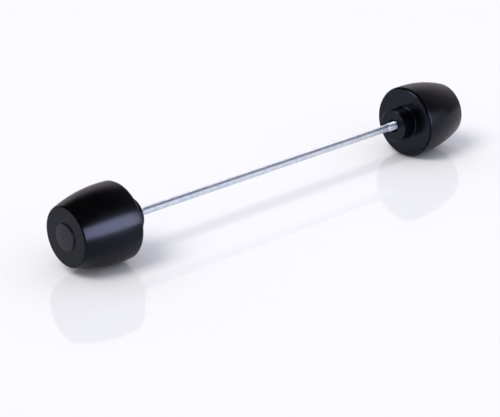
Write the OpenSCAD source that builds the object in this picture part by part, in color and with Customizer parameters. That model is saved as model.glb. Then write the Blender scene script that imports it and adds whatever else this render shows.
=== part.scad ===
// Fork slider set: two crowned plastic barrels on a steel tie rod that runs
// through a hollow front wheel axle. Each barrel is carried by a spigot flange,
// whose stub enters the axle bore, and is held by a lock nut under an end cap.
// Millimetres. The axis runs along X at the height of the widest ring, Y = 0 is
// the plane through the axis, and Z = 0 is the floor that the barrels lie on.

/* [Overall] */
// Distance between the inner faces of the two spigot flanges
axle_span = 256; // [180:1:320]

/* [Slider barrel] */
// Diameter at the widest ring of the crowned barrel
barrel_d = 50; // [44:0.5:64]
// Length from the outer face to the rear face
barrel_len = 39; // [36:0.5:60]
// Distance from the outer face to the widest ring
crown_at = 33; // [24:0.5:35]
// Diameter that the crown would reach at the outer face without its round
nose_d = 38.2; // [32:0.1:42]
// Radius of the round between the outer face and the crown
nose_round = 1.2; // [0.5:0.1:4]
// Radius of the round at the rear rim
rim_round = 0.8; // [0.4:0.1:1.6]
// Bore that the tie rod passes through
rod_bore_d = 6.6; // [6.5:0.1:8]
// Diameter of the socket that gives a spanner access to the nut
socket_d = 15; // [15:0.1:20]
// Depth of the socket from the outer face to the washer seat
socket_depth = 22; // [21:0.5:26]
// Width of the chamfer at the mouth of the socket
socket_chamfer = 0.4; // [0.1:0.1:0.8]

/* [Spigot flange] */
// Diameter of the flange disc
flange_d = 48; // [40:0.5:64]
// Thickness of the flange disc
flange_t = 1.2; // [1:0.1:3]
// Width of the bevel round the inner face of the disc
flange_bevel = 0.4; // [0.2:0.1:0.6]
// Diameter of the spigot that enters the axle
spigot_d = 22.5; // [18:0.1:28]
// Length of the spigot from the inner face of the disc
spigot_len = 11; // [6:0.5:20]
// Width of the chamfer on the spigot's end
spigot_chamfer = 0.3; // [0.2:0.1:1.5]
// Radius of the fillet at the foot of the spigot
spigot_fillet = 0.8; // [0.2:0.1:1.5]
// Bore of the spigot, wide of the tie rod
spigot_bore_d = 8.6; // [8:0.1:12]
// Width of the chamfer at the mouth of the spigot's bore
bore_chamfer = 0.4; // [0.1:0.1:0.8]
// Diameter of the hub that centres the barrel on the flange
hub_d = 16; // [14:0.1:20]
// Length of the hub inside the barrel
hub_len = 7; // [4:0.5:8]
// Width of the chamfer on the hub's end
hub_chamfer = 0.6; // [0.2:0.1:1]
// Gap between the hub and its pocket in the barrel, on the radius
hub_play = 0.05; // [0.02:0.01:0.2]
// Gap between the end of the hub and the floor of its pocket
hub_end_gap = 0.4; // [0.2:0.1:1]

/* [End cap] */
// Diameter of the cap's head
cap_d = 17.4; // [16.5:0.1:24]
// Height of the head's centre above the outer face
cap_rise = 1.1; // [1:0.1:2.5]
// Height that the dome gains from the head's rim to its centre
cap_dome = 0.3; // [0.1:0.05:0.45]
// Radius of the round at the head's rim
cap_round = 0.6; // [0.2:0.1:0.6]
// Thickness of the head below the outer face
cap_floor_t = 0.6; // [0.4:0.1:1]
// Depth that the hollow stem reaches into the socket
cap_stem_len = 8; // [5:0.5:9]
// Wall thickness of the stem
cap_wall = 1.2; // [0.8:0.1:1.4]
// Gap between the stem and the socket, on the radius
cap_play = 0.2; // [0.1:0.05:0.3]
// Number of ribs that grip the socket
cap_ribs = 3; // [2:1:4]
// Distance from one rib to the next
cap_rib_pitch = 2; // [1.6:0.1:2.2]
// Gap between a rib and the socket, on the radius
rib_play = 0.03; // [0.01:0.01:0.08]

/* [Tie rod] */
// Diameter of the plain shank
shank_d = 5.2; // [4.6:0.1:5.6]
// Outside diameter of the rolled threads
thread_d = 6; // [5.8:0.1:6.2]
// Length that the thread stands out of the end of the spigot
thread_show = 5; // [3:0.5:20]
// Length of rod that stands out of the lock nut
rod_tail = 2.4; // [1:0.1:4]
// Width of the chamfer at each end of the rod
rod_chamfer = 0.6; // [0.2:0.1:0.8]

/* [Nut and washer] */
// Width across the flats of the lock nut
nut_af = 10; // [9.5:0.1:10]
// Height of the nut's hexagon
nut_hex_h = 4.4; // [3.5:0.1:5]
// Height of the round collar that holds the locking ring
nut_collar_h = 1.6; // [1.2:0.1:2]
// Diameter of that collar
nut_collar_d = 9.2; // [8.6:0.1:9.4]
// Angle of the chamfer on the hexagon's corners
nut_chamfer_deg = 30; // [20:1:35]
// Diameter of the locking ring
lock_ring_d = 7.8; // [7.2:0.1:8]
// Height of the locking ring
lock_ring_h = 1.4; // [1:0.1:1.8]
// Thickness of the collar's lip over the locking ring
nut_lip_t = 0.4; // [0.2:0.1:0.6]
// Gap between the thread and what is screwed on it, on the radius
thread_play = 0.03; // [0.01:0.01:0.08]
// Outside diameter of the washer
washer_d = 12; // [11.6:0.1:14]
// Thickness of the washer
washer_t = 1.6; // [1:0.1:2]
// Bore of the washer
washer_bore_d = 6.4; // [6.4:0.1:6.8]
// Width of the chamfer on the washer's outer edge
washer_chamfer = 0.3; // [0.1:0.1:0.5]

/* [Hidden] */

// Facets of ordinary rounds, and of the long crown arc and other big arcs
$fn = 96;
arc_fn = 720;
// How far a cutting shape runs past the face that it cuts
past = 1;

// Every z below is measured inwards from the outer face of the barrel
axis_h = barrel_d / 2;
rear_z = barrel_len;
flange_face_z = rear_z + flange_t;
spigot_end_z = flange_face_z + spigot_len;
outer_face_x = axle_span / 2 + flange_face_z;
washer_face_z = socket_depth - washer_t;
nut_h = nut_hex_h + nut_collar_h;
nut_face_z = washer_face_z - nut_h;
rod_end_z = nut_face_z - rod_tail;
thread_start_z = spigot_end_z + thread_show;
thread_step = (thread_d - shank_d) / 2;

// The crown is one arc through the nose and the widest ring
crown_drop = (barrel_d - nose_d) / 2;
crown_r = (pow(crown_at, 2) + pow(crown_drop, 2)) / (2 * crown_drop);
crown_c = [barrel_d / 2 - crown_r, crown_at];

// The cap's dome is one arc from its rim to its centre
dome_r = (pow(cap_d / 2, 2) + pow(cap_dome, 2)) / (2 * cap_dome);
dome_c = [0, dome_r - cap_rise];
stem_r = socket_d / 2 - cap_play;
rib_r = socket_d / 2 - rib_play;

// Distance from the centre line of a big arc to the centre of a small round
// that touches the arc from inside and lies off_c beside the arc's centre
function round_reach(big_r, small_r, off_c) = sqrt(pow(big_r - small_r, 2) - pow(off_c, 2));

// Cuts the corner between a straight edge and a big arc back to a round. c is
// the round's centre, edge the outward direction of the straight edge, and
// arc_c the centre of the big arc.
module corner_waste(c, round_r, edge, arc_c) {
    along = (c - arc_c) / norm(c - arc_c);
    difference() {
        polygon([
            c,
            c + 2 * round_r * edge,
            c + 2 * round_r * (edge + along),
            c + 2 * round_r * along
        ]);
        translate(c) circle(r = round_r);
    }
}

// A rectangle in the turning plane from radius r0 to r1 and depth z0 to z1
module band(r0, r1, z0, z1) {
    translate([r0, z0]) square([r1 - r0, z1 - z0]);
}

// Half section of the barrel's outside
module barrel_section() {
    nose_c = [
        crown_c[0] + round_reach(crown_r, nose_round, crown_at - nose_round),
        nose_round
    ];
    rim_c = [
        crown_c[0] + round_reach(crown_r, rim_round, rear_z - rim_round - crown_at),
        rear_z - rim_round
    ];
    difference() {
        intersection() {
            translate(crown_c) circle(r = crown_r, $fn = arc_fn);
            band(0, barrel_d, 0, rear_z);
        }
        corner_waste(nose_c, nose_round, [0, -1], crown_c);
        corner_waste(rim_c, rim_round, [0, 1], crown_c);
    }
}

// Half section of the hollows of the barrel: socket, rod bore and hub pocket
module barrel_hollow_section() {
    pocket_r = hub_d / 2 + hub_play;
    band(0, socket_d / 2, -past, socket_depth);
    polygon([
        [0, -past],
        [socket_d / 2 + socket_chamfer + past, -past],
        [socket_d / 2, socket_chamfer],
        [0, socket_chamfer]
    ]);
    band(0, rod_bore_d / 2, 0, rear_z);
    band(0, pocket_r, rear_z - hub_len - hub_end_gap, rear_z + past);
}

// The crowned slider barrel, turned from black plastic bar
module barrel() {
    color([0.07, 0.07, 0.08])
        rotate_extrude()
            difference() {
                barrel_section();
                barrel_hollow_section();
            }
}

// Flange disc with the spigot on its inner face and the hub on its back
module spigot_flange() {
    bore_r = spigot_bore_d / 2;
    spigot_r = spigot_d / 2;
    fillet_c = [spigot_r + spigot_fillet, flange_face_z + spigot_fillet];
    color([0.13, 0.13, 0.15])
        rotate_extrude() {
            polygon([
                [bore_r, rear_z],
                [flange_d / 2, rear_z],
                [flange_d / 2, flange_face_z - flange_bevel],
                [flange_d / 2 - flange_bevel, flange_face_z],
                [bore_r, flange_face_z]
            ]);
            polygon([
                [bore_r, rear_z - hub_len],
                [hub_d / 2 - hub_chamfer, rear_z - hub_len],
                [hub_d / 2, rear_z - hub_len + hub_chamfer],
                [hub_d / 2, flange_face_z],
                [spigot_r, flange_face_z],
                [spigot_r, spigot_end_z - spigot_chamfer],
                [spigot_r - spigot_chamfer, spigot_end_z],
                [bore_r + bore_chamfer, spigot_end_z],
                [bore_r, spigot_end_z - bore_chamfer]
            ]);
            difference() {
                band(bore_r, fillet_c[0], rear_z, fillet_c[1]);
                translate(fillet_c) circle(r = spigot_fillet);
            }
        }
}

// Half section of the cap's domed head
module cap_head_section() {
    rim_c = [
        cap_d / 2 - cap_round,
        dome_c[1] - round_reach(dome_r, cap_round, cap_d / 2 - cap_round)
    ];
    difference() {
        intersection() {
            translate(dome_c) circle(r = dome_r, $fn = arc_fn);
            band(0, cap_d / 2, -2 * cap_rise, 0);
        }
        corner_waste(rim_c, cap_round, [1, 0], dome_c);
    }
}

// The pressed-in end cap: domed head, hollow stem and gripping ribs
module end_cap() {
    rib_h = cap_play - rib_play;
    color([0.1, 0.1, 0.11])
        rotate_extrude() {
            cap_head_section();
            band(0, stem_r, 0, cap_floor_t);
            band(stem_r - cap_wall, stem_r, cap_floor_t, cap_stem_len);
            for (i = [1 : cap_ribs])
                let (z = cap_stem_len - (i - 0.5) * cap_rib_pitch)
                    polygon([
                        [stem_r, z - 3 * rib_h],
                        [rib_r, z - rib_h / 2],
                        [rib_r, z + rib_h / 2],
                        [stem_r, z + 3 * rib_h]
                    ]);
        }
}

// Plain washer on the floor of the socket
module washer() {
    color([0.75, 0.77, 0.8])
        rotate_extrude()
            polygon([
                [washer_bore_d / 2, washer_face_z],
                [washer_d / 2 - washer_chamfer, washer_face_z],
                [washer_d / 2, washer_face_z + washer_chamfer],
                [washer_d / 2, socket_depth],
                [washer_bore_d / 2, socket_depth]
            ]);
}

// Lock nut: a chamfered hexagon with a round collar crimped over its ring
module lock_nut() {
    bore_r = thread_d / 2 + thread_play;
    corner_r = nut_af / 2 / cos(30);
    chamfer_h = (corner_r - nut_af / 2) * tan(nut_chamfer_deg);
    collar_z = washer_face_z - nut_hex_h;
    ring_z = nut_face_z + nut_lip_t;
    color([0.78, 0.8, 0.83]) {
        difference() {
            intersection() {
                translate([0, 0, collar_z]) cylinder(r = corner_r, h = nut_hex_h, $fn = 6);
                rotate_extrude()
                    polygon([
                        [0, collar_z],
                        [nut_af / 2, collar_z],
                        [corner_r, collar_z + chamfer_h],
                        [corner_r, washer_face_z - chamfer_h],
                        [nut_af / 2, washer_face_z],
                        [0, washer_face_z]
                    ]);
            }
            translate([0, 0, collar_z - past])
                cylinder(r = bore_r, h = nut_hex_h + 2 * past);
            translate([0, 0, ring_z])
                cylinder(r = lock_ring_d / 2, h = lock_ring_h);
        }
        rotate_extrude()
            difference() {
                band(bore_r, nut_collar_d / 2, nut_face_z, collar_z);
                band(0, lock_ring_d / 2, ring_z, ring_z + lock_ring_h);
            }
    }
}

// The nylon ring inside the lock nut's collar
module locking_ring() {
    ring_z = nut_face_z + nut_lip_t;
    color([0.2, 0.35, 0.7])
        rotate_extrude()
            band(thread_d / 2 + thread_play, lock_ring_d / 2, ring_z, ring_z + lock_ring_h);
}

// The tie rod, turned end for end about its middle, with each thread as a
// cylinder of its outside diameter
module rod() {
    left_half = [
        [0, rod_end_z],
        [thread_d / 2 - rod_chamfer, rod_end_z],
        [thread_d / 2, rod_end_z + rod_chamfer],
        [thread_d / 2, thread_start_z - thread_step],
        [shank_d / 2, thread_start_z]
    ];
    right_half = [
        for (i = [len(left_half) - 1 : -1 : 0])
            [left_half[i][0], 2 * outer_face_x - left_half[i][1]]
    ];
    color([0.8, 0.83, 0.87])
        rotate_extrude()
            polygon(concat(left_half, right_half));
}

// Puts what is drawn from an outer face inwards at the left end
module left_end() {
    translate([-outer_face_x, 0, axis_h]) rotate([0, 90, 0]) children();
}

// The same, mirrored to the right end
module right_end() {
    mirror([1, 0, 0]) left_end() children();
}

module tie_rod() { left_end() rod(); }
module left_barrel() { left_end() barrel(); }
module left_spigot_flange() { left_end() spigot_flange(); }
module left_end_cap() { left_end() end_cap(); }
module left_washer() { left_end() washer(); }
module left_lock_nut() { left_end() lock_nut(); }
module left_locking_ring() { left_end() locking_ring(); }
module right_barrel() { right_end() barrel(); }
module right_spigot_flange() { right_end() spigot_flange(); }
module right_end_cap() { right_end() end_cap(); }
module right_washer() { right_end() washer(); }
module right_lock_nut() { right_end() lock_nut(); }
module right_locking_ring() { right_end() locking_ring(); }

tie_rod();
left_barrel();
left_spigot_flange();
left_end_cap();
left_washer();
left_lock_nut();
left_locking_ring();
right_barrel();
right_spigot_flange();
right_end_cap();
right_washer();
right_lock_nut();
right_locking_ring();
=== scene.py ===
import math

import bpy
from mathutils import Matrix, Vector


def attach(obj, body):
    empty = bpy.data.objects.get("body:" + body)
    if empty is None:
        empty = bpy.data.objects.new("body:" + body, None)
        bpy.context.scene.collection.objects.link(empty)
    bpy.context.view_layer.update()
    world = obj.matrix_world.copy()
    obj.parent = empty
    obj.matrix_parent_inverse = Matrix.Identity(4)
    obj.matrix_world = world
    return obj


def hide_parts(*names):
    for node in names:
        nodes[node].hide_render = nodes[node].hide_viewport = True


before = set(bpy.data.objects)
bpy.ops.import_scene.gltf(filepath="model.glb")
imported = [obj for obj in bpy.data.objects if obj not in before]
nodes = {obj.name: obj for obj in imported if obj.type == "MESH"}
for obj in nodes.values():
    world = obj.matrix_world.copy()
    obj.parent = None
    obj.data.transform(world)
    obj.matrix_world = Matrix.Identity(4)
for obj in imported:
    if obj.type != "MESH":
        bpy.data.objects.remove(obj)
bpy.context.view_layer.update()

MM = 0.001

# Camera. The set is seen from the front left and a little above, through a long lens,
# with the left slider nearer. The lens aims slightly past the middle of the rod.
axis_height = 25 * MM
camera_azimuth = math.radians(-43.72)
camera_elevation = math.radians(21.2)
camera_distance = 1097.5 * MM
aim_turn = math.radians(0.791)
aim_dip = math.radians(1.412)
photo_width_px = 500
focal_px = 1677.5
sensor_width_mm = 36.0


def towards(azimuth, elevation):
    """Unit vector from the object to a viewer at that azimuth and elevation."""
    return Vector((
        math.sin(azimuth) * math.cos(elevation),
        -math.cos(azimuth) * math.cos(elevation),
        math.sin(elevation),
    ))


camera_data = bpy.data.cameras.new("camera")
camera_data.sensor_width = sensor_width_mm
camera_data.lens = focal_px / photo_width_px * sensor_width_mm
camera_data.clip_end = 100
camera = bpy.data.objects.new("camera", camera_data)
bpy.context.scene.collection.objects.link(camera)
camera.location = towards(camera_azimuth, camera_elevation) * camera_distance
camera.location.z += axis_height
view_back = towards(camera_azimuth + aim_turn, camera_elevation + aim_dip)
camera.rotation_euler = view_back.to_track_quat("Z", "Y").to_euler()
bpy.context.scene.camera = camera
bpy.context.scene.view_settings.view_transform = "Standard"


# Floor. A glossy white board, so that each slider stands on a faint reflection of
# itself, with a soft dark contact under it.
def hex_linear(code):
    """An sRGB hex colour such as "1c1d21" as a linear RGBA tuple."""
    srgb = [int(code[i:i + 2], 16) / 255 for i in (0, 2, 4)]
    linear = [c / 12.92 if c <= 0.04045 else ((c + 0.055) / 1.055) ** 2.4 for c in srgb]
    return (*linear, 1.0)


def add(tree, kind, settings=None, links=None, **values):
    """Adds a node: settings are its properties, links its inputs' sources, values its sockets."""
    node = tree.nodes.new(kind)
    for key, value in (settings or {}).items():
        setattr(node, key, value)
    for key, value in values.items():
        node.inputs[key.replace("_", " ")].default_value = value
    for key, source in (links or {}).items():
        tree.links.new(source, node.inputs[key])
    return node


floor_reach = 15.0
gloss_share = 0.10
floor_mesh = bpy.data.meshes.new("floor")
floor_mesh.from_pydata(
    [(x * floor_reach, y * floor_reach, 0) for x, y in ((-1, -1), (1, -1), (1, 1), (-1, 1))],
    [], [(0, 1, 2, 3)],
)
floor = bpy.data.objects.new("floor", floor_mesh)
bpy.context.scene.collection.objects.link(floor)

floor_material = bpy.data.materials.new("glossy_white_board")
floor_material.use_nodes = True
tree = floor_material.node_tree
tree.nodes.clear()
# The same faint reflection from every side, so that the board stays pale in low views
board_white = add(tree, "ShaderNodeBsdfDiffuse", Color=hex_linear("fcfcfc"))
board_gloss = add(tree, "ShaderNodeBsdfGlossy", Color=hex_linear("ffffff"), Roughness=0.07)
board = add(tree, "ShaderNodeMixShader", {}, {
    1: board_white.outputs[0], 2: board_gloss.outputs[0]}, Fac=gloss_share)
add(tree, "ShaderNodeOutputMaterial", {}, {"Surface": board.outputs[0]})
floor_mesh.materials.append(floor_material)

# Room. Gloss sees pale walls at the back, a dark front and a dark ceiling, which give the
# black sliders a sheen along their tops, then black. Matt surfaces get one even white
# light from all round, and the camera sees a plain white backdrop behind the board.
ceiling_start, ceiling_end = 0.20, 0.52
right_wall_rise = 0.5
skirting_top, skirting_level = 0.35, 0.50
front_side, front_shade = -0.9, 0.03
back_side, back_shade = 0.7, 1.0

world = bpy.data.worlds.new("studio")
bpy.context.scene.world = world
world.use_nodes = True
tree = world.node_tree
tree.nodes.clear()
sky = add(tree, "ShaderNodeTexCoord").outputs["Generated"]
split = add(tree, "ShaderNodeSeparateXYZ", links={"Vector": sky})
slope = add(tree, "ShaderNodeMath", {"operation": "MULTIPLY_ADD"},
            {0: split.outputs["X"], 2: split.outputs["Z"]})
slope.inputs[1].default_value = -right_wall_rise
height_fade = add(
    tree, "ShaderNodeMapRange", {"interpolation_type": "SMOOTHSTEP"}, {"Value": slope.outputs[0]},
    From_Min=ceiling_start, From_Max=ceiling_end, To_Min=1.0, To_Max=0.0,
)
skirting = add(
    tree, "ShaderNodeMapRange", {"interpolation_type": "SMOOTHSTEP"}, {"Value": split.outputs["Z"]},
    From_Min=0.0, From_Max=skirting_top, To_Min=skirting_level, To_Max=1.0,
)
side_fade = add(
    tree, "ShaderNodeMapRange", {"interpolation_type": "SMOOTHSTEP"}, {"Value": split.outputs["Y"]},
    From_Min=front_side, From_Max=back_side, To_Min=front_shade, To_Max=back_shade,
)
wall_height = add(tree, "ShaderNodeMath", {"operation": "MULTIPLY"},
                  {0: height_fade.outputs["Result"], 1: skirting.outputs["Result"]})
wall_level = add(tree, "ShaderNodeMath", {"operation": "MULTIPLY"},
                 {0: wall_height.outputs[0], 1: side_fade.outputs["Result"]})
walls = add(tree, "ShaderNodeBackground", {}, {"Strength": wall_level.outputs[0]},
            Color=hex_linear("fff1f7"))
even_light = add(tree, "ShaderNodeBackground", Color=hex_linear("eef2ff"), Strength=0.73)
rays = add(tree, "ShaderNodeLightPath")
backdrop = add(tree, "ShaderNodeBackground", Color=hex_linear("fbfbff"), Strength=1.0)
seen = add(tree, "ShaderNodeMath", {"operation": "MAXIMUM"},
           {0: rays.outputs["Is Camera Ray"], 1: rays.outputs["Is Transmission Ray"]})
room = add(tree, "ShaderNodeMixShader", {}, {
    0: rays.outputs["Is Glossy Ray"], 1: even_light.outputs[0], 2: walls.outputs[0]})
view = add(tree, "ShaderNodeMixShader", {}, {
    0: seen.outputs[0], 1: room.outputs[0], 2: backdrop.outputs[0]})
add(tree, "ShaderNodeOutputWorld", {}, {"Surface": view.outputs[0]})


# Lamps. Soft cards stand in front of the set, kept off the floor, and a bright window
# among them draws the band along the left slider. A card at the back lights the rod's
# far side, one above picks out bevels and thread flanks, and a broad soft light from
# the upper left gives the shadows.
def softbox(name, centre, back, width, height, radiance, colour):
    """An area lamp, back being the way it faces away from; radiance 1 looks like white."""
    data = bpy.data.lights.new(name, "AREA")
    data.shape = "RECTANGLE"
    data.size = width
    data.size_y = height
    data.energy = radiance * math.pi * width * height
    data.color = hex_linear(colour)[:3]
    lamp = bpy.data.objects.new(name, data)
    bpy.context.scene.collection.objects.link(lamp)
    lamp.location = centre
    lamp.rotation_euler = Vector(back).to_track_quat("Z", "Y").to_euler()
    return lamp


to_front = (0, -1, 0)
# A linked collection that only leaves out the floor, which the cards would wash out
above_floor = bpy.data.collections.new("above_floor")
above_floor.objects.link(floor)
above_floor.collection_objects[0].light_linking.link_state = "EXCLUDE"
front_card = softbox(
    "front_card", centre=(0.155, -0.98, 0.35), back=to_front, width=1.05, height=0.66,
    radiance=2.0, colour="e8efff",
)
fill_card = softbox(
    "fill_card", centre=(1.25, -1.0, 0.29), back=to_front, width=0.90, height=0.42,
    radiance=1.2, colour="eef0ff",
)
front_card.light_linking.receiver_collection = above_floor
fill_card.light_linking.receiver_collection = above_floor

# The window shines on the barrels and caps alone, the card at the back on the rod alone
# and the one above on the flanges and the rod
blacks = bpy.data.collections.new("barrels_and_caps")
window = softbox(
    "front_window", centre=(0.205, -1.0, 0.35), back=to_front, width=1.11, height=0.66,
    radiance=14.0, colour="fff8fb",
)
window.light_linking.receiver_collection = blacks

zincs = bpy.data.collections.new("zinc_rod")
to_back_right = towards(math.radians(128), math.radians(34))
card_distance = 1.5
rod_card = softbox(
    "rod_card", centre=to_back_right * card_distance, back=to_back_right, width=1.2, height=0.9,
    radiance=1.4, colour="f6f8ff",
)
rod_card.light_linking.receiver_collection = zincs

trims = bpy.data.collections.new("flanges_and_rod")
to_left_above = Vector((-0.50, 0.32, 0.75)).normalized()
edge_card = softbox(
    "edge_card", centre=to_left_above * card_distance, back=to_left_above, width=0.7, height=1.3,
    radiance=6.0, colour="f2f4ff",
)
edge_card.light_linking.receiver_collection = trims

to_upper_left = Vector((-0.58, 0.03, 0.81))
broad_light = bpy.data.lights.new("overhead_light", "SUN")
broad_light.energy = 1.45
broad_light.angle = math.radians(30)
broad_light.color = hex_linear("fffaf2")[:3]
overhead = bpy.data.objects.new("overhead_light", broad_light)
bpy.context.scene.collection.objects.link(overhead)
overhead.rotation_euler = to_upper_left.to_track_quat("Z", "Y").to_euler()
overhead.visible_glossy = False

# Tie rod. One length of steel rod, 5.2 mm thick, bright zinc plated. M6 threads are
# rolled on both ends, so they stand proud of the shank.
shank_radius = 2.6 * MM
thread_radius = 3.0 * MM
thread_root_radius = 2.42 * MM
thread_pitch = 1.0 * MM
thread_start_x = 112.0 * MM
thread_rise = 0.25 * MM
thread_runout = 2.5 * MM
rod_end_x = 156.2 * MM
rod_chamfer = 0.6 * MM
rings_per_pitch = 8
rod_segments = 48
shank_rings = 40


def per_metre(size_mm):
    """How many features of that size follow each other in a metre, for texture scales."""
    return 1 / (size_mm * MM)


def new_material(name):
    """An empty node material with its shader: returns (material, tree, shader)."""
    material = bpy.data.materials.new(name)
    material.use_nodes = True
    return material, material.node_tree, material.node_tree.nodes["Principled BSDF"]


# Bright zinc plate over drawn steel: mirror-like but hazy, with drawing lines along
# the rod, cloudy patches and the faint blue of its passivation.
zinc_on_rod, tree, shader = new_material("bright_zinc_on_drawn_steel")
place = add(tree, "ShaderNodeTexCoord").outputs["Object"]
along_rod = add(tree, "ShaderNodeMapping", {}, {"Vector": place},
                Scale=(per_metre(14.0), per_metre(0.35), per_metre(0.35)))
draw_lines = add(tree, "ShaderNodeTexNoise", {}, {"Vector": along_rod.outputs[0]},
                 Scale=1.0, Detail=3.0, Roughness=0.6)
clouds = add(tree, "ShaderNodeTexNoise", {}, {"Vector": place},
             Scale=per_metre(4.0), Detail=4.0, Roughness=0.6)
tint = add(tree, "ShaderNodeValToRGB", {}, {"Fac": clouds.outputs["Fac"]})
dark, light = tint.color_ramp.elements
dark.position, dark.color = 0.35, hex_linear("c9d3e2")
light.position, light.color = 0.65, hex_linear("e3e6ea")
tree.links.new(tint.outputs["Color"], shader.inputs["Base Color"])
haze = add(tree, "ShaderNodeMapRange", {}, {"Value": draw_lines.outputs["Fac"]},
           From_Min=0.3, From_Max=0.7, To_Min=0.40, To_Max=0.50)
tree.links.new(haze.outputs["Result"], shader.inputs["Roughness"])
relief = add(tree, "ShaderNodeBump", {}, {"Height": draw_lines.outputs["Fac"]},
             Strength=0.5, Distance=0.008 * MM)
tree.links.new(relief.outputs["Normal"], shader.inputs["Normal"])
shader.inputs["Metallic"].default_value = 1.0


def make_rod_tree():
    """Geometry nodes: a round bar along X with a rolled right-hand thread on each end."""
    tree = bpy.data.node_groups.new("rolled_tie_rod", "GeometryNodeTree")
    face = tree.interface
    for label, kind in (
        ("Shank radius", "NodeSocketFloat"), ("Crest radius", "NodeSocketFloat"),
        ("Root radius", "NodeSocketFloat"), ("Pitch", "NodeSocketFloat"),
        ("Thread start", "NodeSocketFloat"), ("Rise", "NodeSocketFloat"),
        ("Runout", "NodeSocketFloat"), ("Rod end", "NodeSocketFloat"),
        ("Chamfer", "NodeSocketFloat"), ("Axis height", "NodeSocketFloat"),
        ("Rings per pitch", "NodeSocketInt"), ("Segments", "NodeSocketInt"),
        ("Shank rings", "NodeSocketInt"), ("Material", "NodeSocketMaterial"),
    ):
        face.new_socket(label, in_out="INPUT", socket_type=kind)
    face.new_socket("Geometry", in_out="OUTPUT", socket_type="NodeSocketGeometry")
    size = add(tree, "NodeGroupInput").outputs

    def math_node(operation, *sources):
        """A Math node on sockets and plain numbers."""
        node = add(tree, "ShaderNodeMath", {"operation": operation})
        for slot, source in enumerate(sources):
            if isinstance(source, (int, float)):
                node.inputs[slot].default_value = source
            else:
                tree.links.new(source, node.inputs[slot])
        return node.outputs[0]

    threaded = math_node("SUBTRACT", size["Rod end"], size["Thread start"])
    turns = math_node("DIVIDE", threaded, size["Pitch"])
    end_rings = math_node("CEIL", math_node("MULTIPLY", turns, size["Rings per pitch"]))
    half_rings = math_node("ADD", end_rings, size["Shank rings"])
    rings = math_node("MULTIPLY", half_rings, 2)
    bar = add(tree, "GeometryNodeMeshCylinder", {"fill_type": "TRIANGLE_FAN"},
              {"Vertices": size["Segments"], "Side Segments": rings}, Radius=1.0, Depth=1.0)
    at = add(tree, "ShaderNodeSeparateXYZ", links={
        "Vector": add(tree, "GeometryNodeInputPosition").outputs[0]}).outputs

    # Rings are close together on the threads and far apart on the plain shank
    ring = math_node("MULTIPLY", at["Z"], rings)
    ring_out = math_node("ABSOLUTE", ring)
    on_shank = math_node("DIVIDE", math_node("MINIMUM", ring_out, size["Shank rings"]),
                         size["Shank rings"])
    past_shank = math_node("MAXIMUM", math_node("SUBTRACT", ring_out, size["Shank rings"]), 0)
    on_thread = math_node("DIVIDE", past_shank, end_rings)
    x_out = math_node("ADD", math_node("MULTIPLY", on_shank, size["Thread start"]),
                      math_node("MULTIPLY", on_thread, threaded))
    x = math_node("MULTIPLY", math_node("SIGN", ring), x_out)

    # The helix: 0 on a crest and 1 in a root, once a pitch
    turn = math_node("DIVIDE", math_node("ARCTAN2", at["Y"], at["X"]), math.tau)
    phase = math_node("SUBTRACT", math_node("DIVIDE", x, size["Pitch"]), turn)
    wave = math_node("MULTIPLY", math_node("PINGPONG", phase, 0.5), 2)
    groove = add(tree, "ShaderNodeMapRange", {"interpolation_type": "SMOOTHSTEP"}, {"Value": wave},
                 From_Min=0.1, From_Max=0.9, To_Min=0.0, To_Max=1.0).outputs["Result"]
    into_thread = math_node("MAXIMUM", math_node("SUBTRACT", x_out, size["Thread start"]), 0)
    rise = math_node("MINIMUM", math_node("DIVIDE", into_thread, size["Rise"]), 1)
    fade = math_node("MINIMUM", math_node("DIVIDE", into_thread, size["Runout"]), 1)
    crest = math_node("ADD", size["Shank radius"], math_node(
        "MULTIPLY", rise, math_node("SUBTRACT", size["Crest radius"], size["Shank radius"])))
    depth = math_node("MULTIPLY", fade, math_node(
        "SUBTRACT", size["Crest radius"], size["Root radius"]))
    profile = math_node("SUBTRACT", crest, math_node("MULTIPLY", depth, groove))
    to_end = math_node("SUBTRACT", size["Rod end"], x_out)
    tip_radius = math_node("SUBTRACT", size["Crest radius"], size["Chamfer"])
    end_cone = math_node("ADD", tip_radius, to_end)
    radius = math_node("MINIMUM", profile, end_cone)

    spot = add(tree, "ShaderNodeCombineXYZ", {}, {
        "X": x,
        "Y": math_node("MULTIPLY", at["X"], radius),
        "Z": math_node("ADD", math_node("MULTIPLY", at["Y"], radius), size["Axis height"]),
    })
    placed = add(tree, "GeometryNodeSetPosition", {}, {
        "Geometry": bar.outputs["Mesh"], "Position": spot.outputs[0]})
    smooth = add(tree, "GeometryNodeSetShadeSmooth", {}, {
        "Geometry": placed.outputs[0], "Selection": bar.outputs["Side"]})
    real = add(tree, "GeometryNodeRealizeInstances", {}, {"Geometry": smooth.outputs[0]})
    painted = add(tree, "GeometryNodeSetMaterial", {}, {
        "Geometry": real.outputs[0], "Material": size["Material"]})
    add(tree, "NodeGroupOutput", {}, {"Geometry": painted.outputs[0]})
    return tree


def mesh_from_nodes(name, tree, sizes):
    """Runs a geometry node tree with its sizes set and returns the result as a plain object."""
    carrier = bpy.data.objects.new(name + "_nodes", bpy.data.meshes.new(name + "_nodes"))
    bpy.context.scene.collection.objects.link(carrier)
    modifier = carrier.modifiers.new("build", "NODES")
    modifier.node_group = tree
    sockets = {s.name: s.identifier for s in tree.interface.items_tree if s.in_out == "INPUT"}
    for label, value in sizes.items():
        modifier[sockets[label]] = value
    graph = bpy.context.evaluated_depsgraph_get()
    mesh = bpy.data.meshes.new_from_object(carrier.evaluated_get(graph), depsgraph=graph)
    bpy.data.objects.remove(carrier)
    mesh.name = name
    made = bpy.data.objects.new(name, mesh)
    bpy.context.scene.collection.objects.link(made)
    return made


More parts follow.
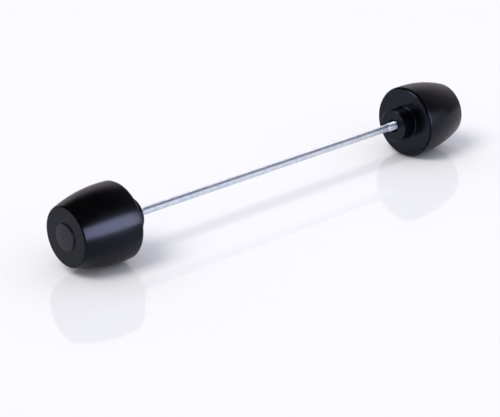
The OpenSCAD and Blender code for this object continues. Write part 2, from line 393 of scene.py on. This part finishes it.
rod = mesh_from_nodes("threaded_tie_rod", make_rod_tree(), {
    "Shank radius": shank_radius, "Crest radius": thread_radius,
    "Root radius": thread_root_radius, "Pitch": thread_pitch,
    "Thread start": thread_start_x, "Rise": thread_rise, "Runout": thread_runout,
    "Rod end": rod_end_x, "Chamfer": rod_chamfer, "Axis height": axis_height,
    "Rings per pitch": rings_per_pitch, "Segments": rod_segments,
    "Shank rings": shank_rings, "Material": zinc_on_rod,
})
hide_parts("tie_rod")
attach(rod, "rod")
zincs.objects.link(rod)
trims.objects.link(rod)

# Washers and lock nuts. Small steel parts, pressed and turned, zinc plated in a
# tumbling barrel. Each washer bears on its socket's floor, and the nut holds it.

# Tumbled zinc: a greyer shine than the rod's, broken up by small knocks.
zinc_on_small_parts, tree, shader = new_material("barrel_plated_zinc")
place = add(tree, "ShaderNodeTexCoord").outputs["Object"]
knocks = add(tree, "ShaderNodeTexNoise", {}, {"Vector": place},
             Scale=per_metre(1.2), Detail=3.0, Roughness=0.6)
tint = add(tree, "ShaderNodeValToRGB", {}, {"Fac": knocks.outputs["Fac"]})
dark, light = tint.color_ramp.elements
dark.position, dark.color = 0.35, hex_linear("b8c1cd")
light.position, light.color = 0.65, hex_linear("d4d8dc")
tree.links.new(tint.outputs["Color"], shader.inputs["Base Color"])
haze = add(tree, "ShaderNodeMapRange", {}, {"Value": knocks.outputs["Fac"]},
           From_Min=0.3, From_Max=0.7, To_Min=0.22, To_Max=0.38)
tree.links.new(haze.outputs["Result"], shader.inputs["Roughness"])
relief = add(tree, "ShaderNodeBump", {}, {"Height": knocks.outputs["Fac"]},
             Strength=0.6, Distance=0.03 * MM)
tree.links.new(relief.outputs["Normal"], shader.inputs["Normal"])
shader.inputs["Metallic"].default_value = 1.0


def finish_nodes(names, material):
    """Gives CAD pieces their finish."""
    for name in names:
        nodes[name].data.materials.clear()
        nodes[name].data.materials.append(material)


finish_nodes(("left_washer", "right_washer", "left_lock_nut", "right_lock_nut"),
             zinc_on_small_parts)

# Locking rings. Nylon rings held under each nut's crimped collar, moulded in blue.
# They grip the thread, so that the nuts stay where they are set.

# Moulded nylon: clear blue with a soft sheen and a slight mottle from the mould's flow.
ring_nylon, tree, shader = new_material("moulded_blue_nylon")
place = add(tree, "ShaderNodeTexCoord").outputs["Object"]
flow = add(tree, "ShaderNodeTexNoise", {}, {"Vector": place},
           Scale=per_metre(0.8), Detail=2.0)
tint = add(tree, "ShaderNodeValToRGB", {}, {"Fac": flow.outputs["Fac"]})
dark, light = tint.color_ramp.elements
dark.position, dark.color = 0.3, hex_linear("24427f")
light.position, light.color = 0.7, hex_linear("355ca6")
tree.links.new(tint.outputs["Color"], shader.inputs["Base Color"])
relief = add(tree, "ShaderNodeBump", {}, {"Height": flow.outputs["Fac"]},
             Strength=0.4, Distance=0.01 * MM)
tree.links.new(relief.outputs["Normal"], shader.inputs["Normal"])
shader.inputs["Roughness"].default_value = 0.45
shader.inputs["IOR"].default_value = 1.53
finish_nodes(("left_locking_ring", "right_locking_ring"), ring_nylon)


# Slider barrels. Crowned bobbins turned from black acetal bar, which take the first
# blow in a fall. The tool leaves fine rings round the crown and on the flat faces.
def lathe_marks(tree, place, feed_mm):
    """Noise that is the same all round the axis: rings along X and over the faces."""
    centred = add(tree, "ShaderNodeMapping", {}, {"Vector": place},
                  Location=(0, 0, -axis_height))
    part = add(tree, "ShaderNodeSeparateXYZ", links={"Vector": centred.outputs[0]})
    across = add(tree, "ShaderNodeCombineXYZ", {}, {
        "X": part.outputs["Y"], "Y": part.outputs["Z"]})
    radius = add(tree, "ShaderNodeVectorMath", {"operation": "LENGTH"},
                 {0: across.outputs[0]})
    rings = add(tree, "ShaderNodeCombineXYZ", {}, {
        "X": part.outputs["X"], "Y": radius.outputs["Value"]})
    return add(tree, "ShaderNodeTexNoise", {"noise_dimensions": "2D"},
               {"Vector": rings.outputs[0]},
               Scale=per_metre(feed_mm), Detail=3.0, Roughness=0.55).outputs["Fac"]


# Turned acetal: deep black, with a silky bluish sheen that the tool rings draw out along
# the crown and a faint unevenness from handling.
turned_acetal, tree, shader = new_material("turned_black_acetal")
place = add(tree, "ShaderNodeTexCoord").outputs["Object"]
# The real feed is about 0.12 mm a turn; drawn at 0.5 mm so that it shows
tool_rings = lathe_marks(tree, place, 0.5)
cloud = add(tree, "ShaderNodeTexNoise", {}, {"Vector": place},
            Scale=per_metre(9.0), Detail=3.0, Roughness=0.55)
tint = add(tree, "ShaderNodeValToRGB", {}, {"Fac": cloud.outputs["Fac"]})
dark, light = tint.color_ramp.elements
dark.position, dark.color = 0.35, hex_linear("020203")
light.position, light.color = 0.7, hex_linear("040404")
tree.links.new(tint.outputs["Color"], shader.inputs["Base Color"])
sheen_spread = add(tree, "ShaderNodeMapRange", {}, {"Value": cloud.outputs["Fac"]},
                   From_Min=0.3, From_Max=0.7, To_Min=0.235, To_Max=0.27)
tree.links.new(sheen_spread.outputs["Result"], shader.inputs["Roughness"])
relief = add(tree, "ShaderNodeBump", {}, {"Height": tool_rings},
             Strength=0.5, Distance=0.012 * MM)
tree.links.new(relief.outputs["Normal"], shader.inputs["Normal"])
shader.inputs["IOR"].default_value = 1.48
shader.inputs["Specular IOR Level"].default_value = 0.20
shader.inputs["Specular Tint"].default_value = hex_linear("c4cffb")
finish_nodes(("left_barrel", "right_barrel"), turned_acetal)
blacks.objects.link(nodes["left_barrel"])
blacks.objects.link(nodes["right_barrel"])

# Spigot flanges. A disc, a short spigot for the hollow axle and a hub, turned in one
# piece from aluminium and dyed black in anodising. Facing marks run round the disc.

# Anodised aluminium: blue-black satin, a little sharper than the plastic, whose facing
# marks catch the light in rings.
anodised, tree, shader = new_material("black_anodised_aluminium")
place = add(tree, "ShaderNodeTexCoord").outputs["Object"]
# Real facing marks are about 0.08 mm apart; drawn at 0.45 mm so that they show
facing_rings = lathe_marks(tree, place, 0.45)
dye = add(tree, "ShaderNodeTexNoise", {}, {"Vector": place},
          Scale=per_metre(7.0), Detail=3.0, Roughness=0.6)
tint = add(tree, "ShaderNodeValToRGB", {}, {"Fac": dye.outputs["Fac"]})
dark, light = tint.color_ramp.elements
dark.position, dark.color = 0.35, hex_linear("020203")
light.position, light.color = 0.7, hex_linear("050507")
tree.links.new(tint.outputs["Color"], shader.inputs["Base Color"])
satin = add(tree, "ShaderNodeMapRange", {}, {"Value": facing_rings},
            From_Min=0.3, From_Max=0.7, To_Min=0.2, To_Max=0.28)
tree.links.new(satin.outputs["Result"], shader.inputs["Roughness"])
relief = add(tree, "ShaderNodeBump", {}, {"Height": facing_rings},
             Strength=0.5, Distance=0.008 * MM)
tree.links.new(relief.outputs["Normal"], shader.inputs["Normal"])
shader.inputs["IOR"].default_value = 1.65
shader.inputs["Specular IOR Level"].default_value = 0.21
shader.inputs["Specular Tint"].default_value = hex_linear("c8d5fb")
finish_nodes(("left_spigot_flange", "right_spigot_flange"), anodised)
for name in ("left_spigot_flange", "right_spigot_flange"):
    trims.objects.link(nodes[name])

# End caps. Domed plugs moulded in black plastic with a spark-eroded grain, pressed
# into the barrels' sockets to close them.

# Grained plug: a greyer and more matt black than the turned face round it.
moulded, tree, shader = new_material("grained_black_plug")
place = add(tree, "ShaderNodeTexCoord").outputs["Object"]
# The real grain is about 0.1 mm; drawn at 0.4 mm so that it shows
grain = add(tree, "ShaderNodeTexNoise", {}, {"Vector": place},
            Scale=per_metre(0.4), Detail=2.0)
flow = add(tree, "ShaderNodeTexNoise", {}, {"Vector": place},
           Scale=per_metre(5.0), Detail=2.0)
tint = add(tree, "ShaderNodeValToRGB", {}, {"Fac": flow.outputs["Fac"]})
dark, light = tint.color_ramp.elements
dark.position, dark.color = 0.35, hex_linear("0d0d10")
light.position, light.color = 0.7, hex_linear("131216")
tree.links.new(tint.outputs["Color"], shader.inputs["Base Color"])
matt = add(tree, "ShaderNodeMapRange", {}, {"Value": grain.outputs["Fac"]},
           From_Min=0.3, From_Max=0.7, To_Min=0.32, To_Max=0.44)
tree.links.new(matt.outputs["Result"], shader.inputs["Roughness"])
relief = add(tree, "ShaderNodeBump", {}, {"Height": grain.outputs["Fac"]},
             Strength=0.4, Distance=0.012 * MM)
tree.links.new(relief.outputs["Normal"], shader.inputs["Normal"])
shader.inputs["IOR"].default_value = 1.5
shader.inputs["Specular IOR Level"].default_value = 0.36
shader.inputs["Specular Tint"].default_value = hex_linear("d6dcff")
finish_nodes(("left_end_cap", "right_end_cap"), moulded)
blacks.objects.link(nodes["left_end_cap"])
blacks.objects.link(nodes["right_end_cap"])
